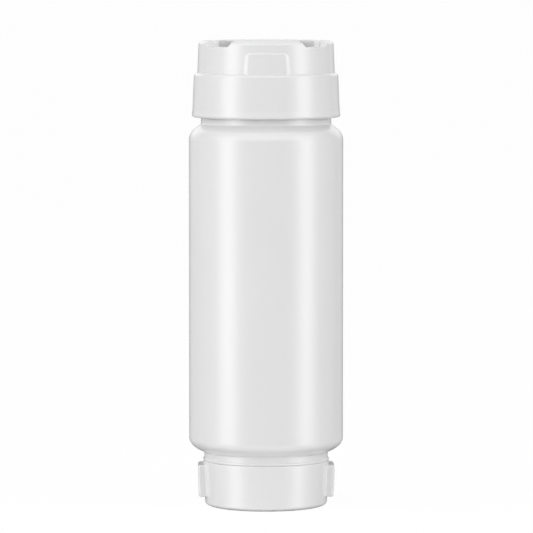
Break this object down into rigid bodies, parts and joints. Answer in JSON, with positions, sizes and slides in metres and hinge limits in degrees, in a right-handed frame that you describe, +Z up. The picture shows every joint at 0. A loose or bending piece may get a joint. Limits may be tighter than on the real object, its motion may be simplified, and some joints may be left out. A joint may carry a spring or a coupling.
{
  "type": "squeeze bottle",
  "caption": "Upright white squeeze bottle, shut, with a wide notched screw cap on top and a narrower lugged screw cap as its foot.",
  "frame": {"origin": "centre of the foot cap's flat underside, on the surface the bottle stands on", "axes": "+Z up along the bottle's axis, -Y towards the front with the thumb panel, X through the foot cap's two grip lugs"},
  "size_m": [0.07, 0.07, 0.2116],
  "materials": {
    "bottle_plastic": "semi-gloss white blow-moulded polyethylene, opaque",
    "cap_plastic": "semi-gloss white injection-moulded polypropylene, opaque"
  },
  "bodies": {
    "root": {"bottle_body": "bottle_plastic", "top_cap": "cap_plastic", "foot_cap": "cap_plastic"}
  },
  "joints": []
}
